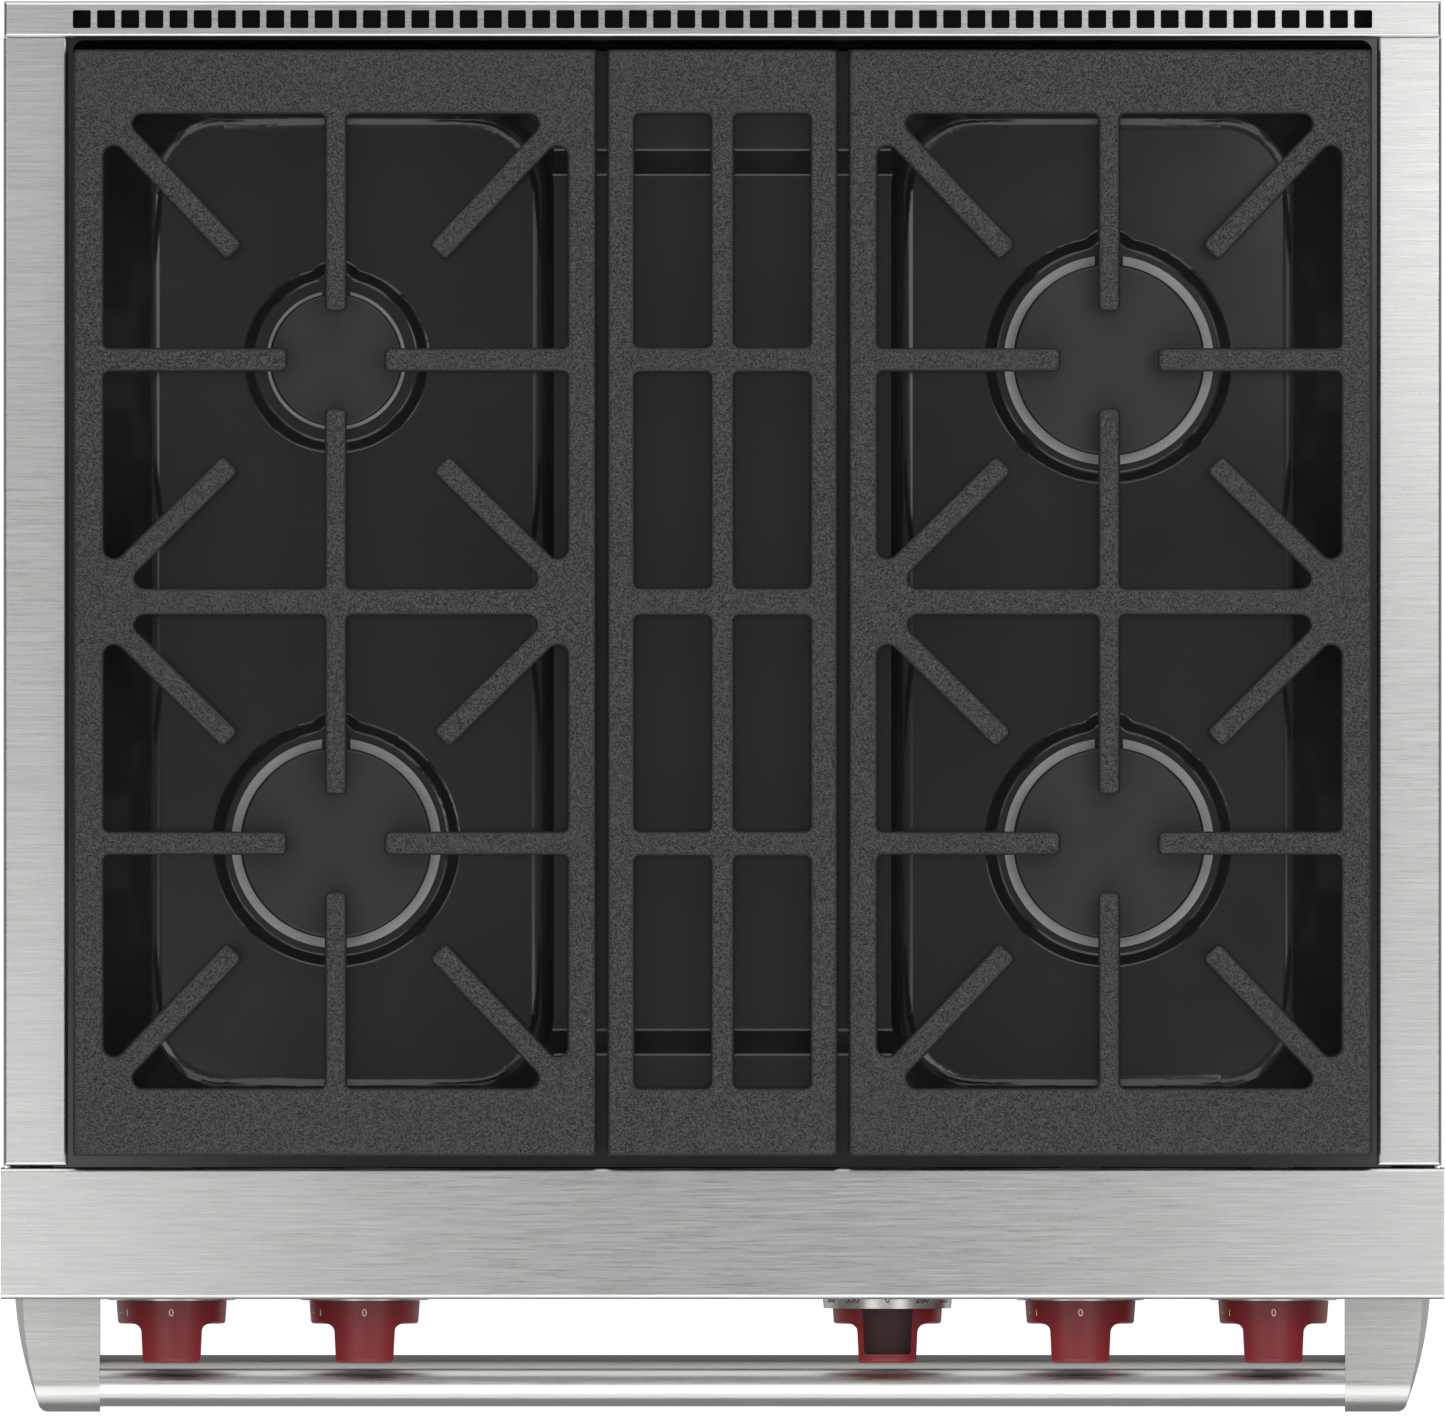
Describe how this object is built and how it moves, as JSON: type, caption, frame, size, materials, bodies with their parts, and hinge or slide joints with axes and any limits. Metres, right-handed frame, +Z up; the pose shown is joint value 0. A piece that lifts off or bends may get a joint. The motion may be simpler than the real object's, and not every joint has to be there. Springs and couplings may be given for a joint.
{
  "type": "freestanding gas range",
  "caption": "Freestanding stainless gas range with cast grates, sealed burners, red knobs, a bar handle and a convection oven.",
  "frame": {"origin": "on the floor, under the middle of the range's outer box", "axes": "+X to the right of a person facing the range, +Y to its back, +Z up"},
  "size_m": [0.759, 0.743, 0.914],
  "materials": {
    "fascia_steel": "brushed left to right, satin",
    "body_steel": "brushed left to right, satin",
    "handle_steel": "brushed round the bar, bright",
    "bezel_steel": "spun, bright",
    "leg_steel": "satin",
    "cast_grate": "matt enamel with a fine grain",
    "cooktop_enamel": "gloss black enamel",
    "cap_enamel": "semi-matt black enamel",
    "burner_alloy": "cast, satin",
    "electrode_ceramic": "unglazed white",
    "knob_red": "satin red",
    "brass": "machined",
    "stem_steel": "zinc plated",
    "gas_pipe": "black pipe",
    "gas_tube": "drawn",
    "thermostat_metal": "plated",
    "module_plastic": "moulded",
    "oven_enamel": "speckled enamel",
    "rope_gasket": "woven glass fibre",
    "burner_steel": "heat-tinted",
    "rack_chrome": "plated",
    "fan_steel": "pressed",
    "motor_paint": "satin black",
    "lamp_glass": "ribbed",
    "galvanised": "galvanised, spangled",
    "door_glass": "dark tinted"
  },
  "bodies": {
    "root": {"cooktop_pan": "cooktop_enamel", "burner_bases": "burner_alloy", "igniter_electrodes": "electrode_ceramic", "side_trims": "fascia_steel", "vent_trim": "fascia_steel", "control_panel": "fascia_steel", "knob_bezels": "bezel_steel", "burner_valves": "brass", "oven_thermostat": "thermostat_metal", "gas_manifold": "gas_pipe", "gas_tubes": "gas_tube", "ignition_module": "module_plastic", "oven_cavity": "oven_enamel", "door_gasket": "rope_gasket", "oven_floor": "oven_enamel", "oven_burners": "burner_steel", "rack_guides": "rack_chrome", "fan_cover": "oven_enamel", "fan_motor": "motor_paint", "oven_lamps": "lamp_glass", "flue_duct": "galvanised", "side_panels": "body_steel", "back_panel": "galvanised", "base_frame": "galvanised", "kick_panel": "body_steel", "hinge_receivers": "stem_steel"},
    "door": {"door_outer_panel": "body_steel", "door_inner_panel": "oven_enamel", "door_glass": "door_glass", "handle_bar": "handle_steel", "handle_brackets": "body_steel", "hinge_arms": "stem_steel"},
    "left_grate": {"left_grate": "cast_grate"},
    "centre_grate": {"centre_grate": "cast_grate"},
    "right_grate": {"right_grate": "cast_grate"},
    "rear_left_burner_cap": {"rear_left_burner_cap": "cap_enamel"},
    "rear_left_burner_head": {"rear_left_burner_head": "burner_alloy"},
    "front_left_burner_cap": {"front_left_burner_cap": "cap_enamel"},
    "front_left_burner_head": {"front_left_burner_head": "burner_alloy"},
    "front_right_burner_cap": {"front_right_burner_cap": "cap_enamel"},
    "front_right_burner_head": {"front_right_burner_head": "burner_alloy"},
    "rear_right_burner_cap": {"rear_right_burner_cap": "cap_enamel"},
    "rear_right_burner_head": {"rear_right_burner_head": "burner_alloy"},
    "rear_left_valve_stem": {"rear_left_valve_stem": "stem_steel"},
    "rear_left_knob": {"rear_left_knob": "knob_red"},
    "front_left_valve_stem": {"front_left_valve_stem": "stem_steel"},
    "front_left_knob": {"front_left_knob": "knob_red"},
    "front_right_valve_stem": {"front_right_valve_stem": "stem_steel"},
    "front_right_knob": {"front_right_knob": "knob_red"},
    "rear_right_valve_stem": {"rear_right_valve_stem": "stem_steel"},
    "rear_right_knob": {"rear_right_knob": "knob_red"},
    "oven_thermostat_stem": {"oven_thermostat_stem": "stem_steel"},
    "oven_knob": {"oven_knob": "knob_red"},
    "upper_rack": {"upper_rack": "rack_chrome"},
    "lower_rack": {"lower_rack": "rack_chrome"},
    "fan_wheel": {"fan_wheel": "fan_steel"},
    "front_left_leg": {"front_left_leg": "leg_steel"},
    "front_right_leg": {"front_right_leg": "leg_steel"},
    "rear_left_leg": {"rear_left_leg": "leg_steel"},
    "rear_right_leg": {"rear_right_leg": "leg_steel"}
  },
  "joints": [
    {"name": "door_hinge", "type": "hinge", "parent": "root", "child": "door", "pos_m": [0, -0.262, 0.16], "axis": [1, 0, 0], "range_deg": [0, 90], "stiffness_Nm_per_rad": 14, "springref_deg": -40.11},
    {"name": "left_grate_lift", "type": "slide", "parent": "root", "child": "left_grate", "axis": [0, 0, 1], "range_m": [0, 0.12]},
    {"name": "centre_grate_lift", "type": "slide", "parent": "root", "child": "centre_grate", "axis": [0, 0, 1], "range_m": [0, 0.12]},
    {"name": "right_grate_lift", "type": "slide", "parent": "root", "child": "right_grate", "axis": [0, 0, 1], "range_m": [0, 0.12]},
    {"name": "rear_left_cap_lift", "type": "slide", "parent": "root", "child": "rear_left_burner_cap", "axis": [0, 0, 1], "range_m": [0, 0.06]},
    {"name": "rear_left_head_lift", "type": "slide", "parent": "root", "child": "rear_left_burner_head", "axis": [0, 0, 1], "range_m": [0, 0.03]},
    {"name": "front_left_cap_lift", "type": "slide", "parent": "root", "child": "front_left_burner_cap", "axis": [0, 0, 1], "range_m": [0, 0.06]},
    {"name": "front_left_head_lift", "type": "slide", "parent": "root", "child": "front_left_burner_head", "axis": [0, 0, 1], "range_m": [0, 0.03]},
    {"name": "front_right_cap_lift", "type": "slide", "parent": "root", "child": "front_right_burner_cap", "axis": [0, 0, 1], "range_m": [0, 0.06]},
    {"name": "front_right_head_lift", "type": "slide", "parent": "root", "child": "front_right_burner_head", "axis": [0, 0, 1], "range_m": [0, 0.03]},
    {"name": "rear_right_cap_lift", "type": "slide", "parent": "root", "child": "rear_right_burner_cap", "axis": [0, 0, 1], "range_m": [0, 0.06]},
    {"name": "rear_right_head_lift", "type": "slide", "parent": "root", "child": "rear_right_burner_head", "axis": [0, 0, 1], "range_m": [0, 0.03]},
    {"name": "rear_left_valve_stem_turn", "type": "hinge", "parent": "root", "child": "rear_left_valve_stem", "pos_m": [-0.29, -0.3, 0.842], "axis": [0, -1, 0], "range_deg": [0, 270]},
    {"name": "rear_left_knob_push", "type": "slide", "parent": "rear_left_valve_stem", "child": "rear_left_knob", "axis": [0, 1, 0], "range_m": [0, 0.003], "stiffness_N_per_m": 1500, "springref_m": -0.002},
    {"name": "front_left_valve_stem_turn", "type": "hinge", "parent": "root", "child": "front_left_valve_stem", "pos_m": [-0.1884, -0.3, 0.842], "axis": [0, -1, 0], "range_deg": [0, 270]},
    {"name": "front_left_knob_push", "type": "slide", "parent": "front_left_valve_stem", "child": "front_left_knob", "axis": [0, 1, 0], "range_m": [0, 0.003], "stiffness_N_per_m": 1500, "springref_m": -0.002},
    {"name": "front_right_valve_stem_turn", "type": "hinge", "parent": "root", "child": "front_right_valve_stem", "pos_m": [0.1884, -0.3, 0.842], "axis": [0, -1, 0], "range_deg": [0, 270]},
    {"name": "front_right_knob_push", "type": "slide", "parent": "front_right_valve_stem", "child": "front_right_knob", "axis": [0, 1, 0], "range_m": [0, 0.003], "stiffness_N_per_m": 1500, "springref_m": -0.002},
    {"name": "rear_right_valve_stem_turn", "type": "hinge", "parent": "root", "child": "rear_right_valve_stem", "pos_m": [0.29, -0.3, 0.842], "axis": [0, -1, 0], "range_deg": [0, 270]},
    {"name": "rear_right_knob_push", "type": "slide", "parent": "rear_right_valve_stem", "child": "rear_right_knob", "axis": [0, 1, 0], "range_m": [0, 0.003], "stiffness_N_per_m": 1500, "springref_m": -0.002},
    {"name": "oven_thermostat_stem_turn", "type": "hinge", "parent": "root", "child": "oven_thermostat_stem", "pos_m": [0.0868, -0.3, 0.842], "axis": [0, 1, 0], "range_deg": [0, 330]},
    {"name": "oven_knob_push", "type": "slide", "parent": "oven_thermostat_stem", "child": "oven_knob", "axis": [0, 1, 0], "range_m": [0, 0.003], "stiffness_N_per_m": 1500, "springref_m": -0.002},
    {"name": "upper_rack_slide", "type": "slide", "parent": "root", "child": "upper_rack", "axis": [0, -1, 0], "range_m": [0, 0.268]},
    {"name": "lower_rack_slide", "type": "slide", "parent": "root", "child": "lower_rack", "axis": [0, -1, 0], "range_m": [0, 0.268]},
    {"name": "fan_spin", "type": "hinge", "parent": "root", "child": "fan_wheel", "pos_m": [0, 0.258, 0.48], "axis": [0, 1, 0], "continuous": true},
    {"name": "front_left_leg_screw", "type": "slide", "parent": "root", "child": "front_left_leg", "axis": [0, 0, -1], "range_m": [0, 0.038]},
    {"name": "front_right_leg_screw", "type": "slide", "parent": "root", "child": "front_right_leg", "axis": [0, 0, -1], "range_m": [0, 0.038]},
    {"name": "rear_left_leg_screw", "type": "slide", "parent": "root", "child": "rear_left_leg", "axis": [0, 0, -1], "range_m": [0, 0.038]},
    {"name": "rear_right_leg_screw", "type": "slide", "parent": "root", "child": "rear_right_leg", "axis": [0, 0, -1], "range_m": [0, 0.038]}
  ],
  "couplings": [
    {"joint": "rear_left_cap_lift", "follows": "left_grate_lift", "ratio": 0.5},
    {"joint": "rear_left_head_lift", "follows": "left_grate_lift", "ratio": 0.25},
    {"joint": "front_left_cap_lift", "follows": "left_grate_lift", "ratio": 0.5},
    {"joint": "front_left_head_lift", "follows": "left_grate_lift", "ratio": 0.25},
    {"joint": "front_right_cap_lift", "follows": "right_grate_lift", "ratio": 0.5},
    {"joint": "front_right_head_lift", "follows": "right_grate_lift", "ratio": 0.25},
    {"joint": "rear_right_cap_lift", "follows": "right_grate_lift", "ratio": 0.5},
    {"joint": "rear_right_head_lift", "follows": "right_grate_lift", "ratio": 0.25},
    {"joint": "upper_rack_slide", "follows": "door_hinge", "m_per_rad": 0.17},
    {"joint": "lower_rack_slide", "follows": "door_hinge", "m_per_rad": 0.17}
  ]
}
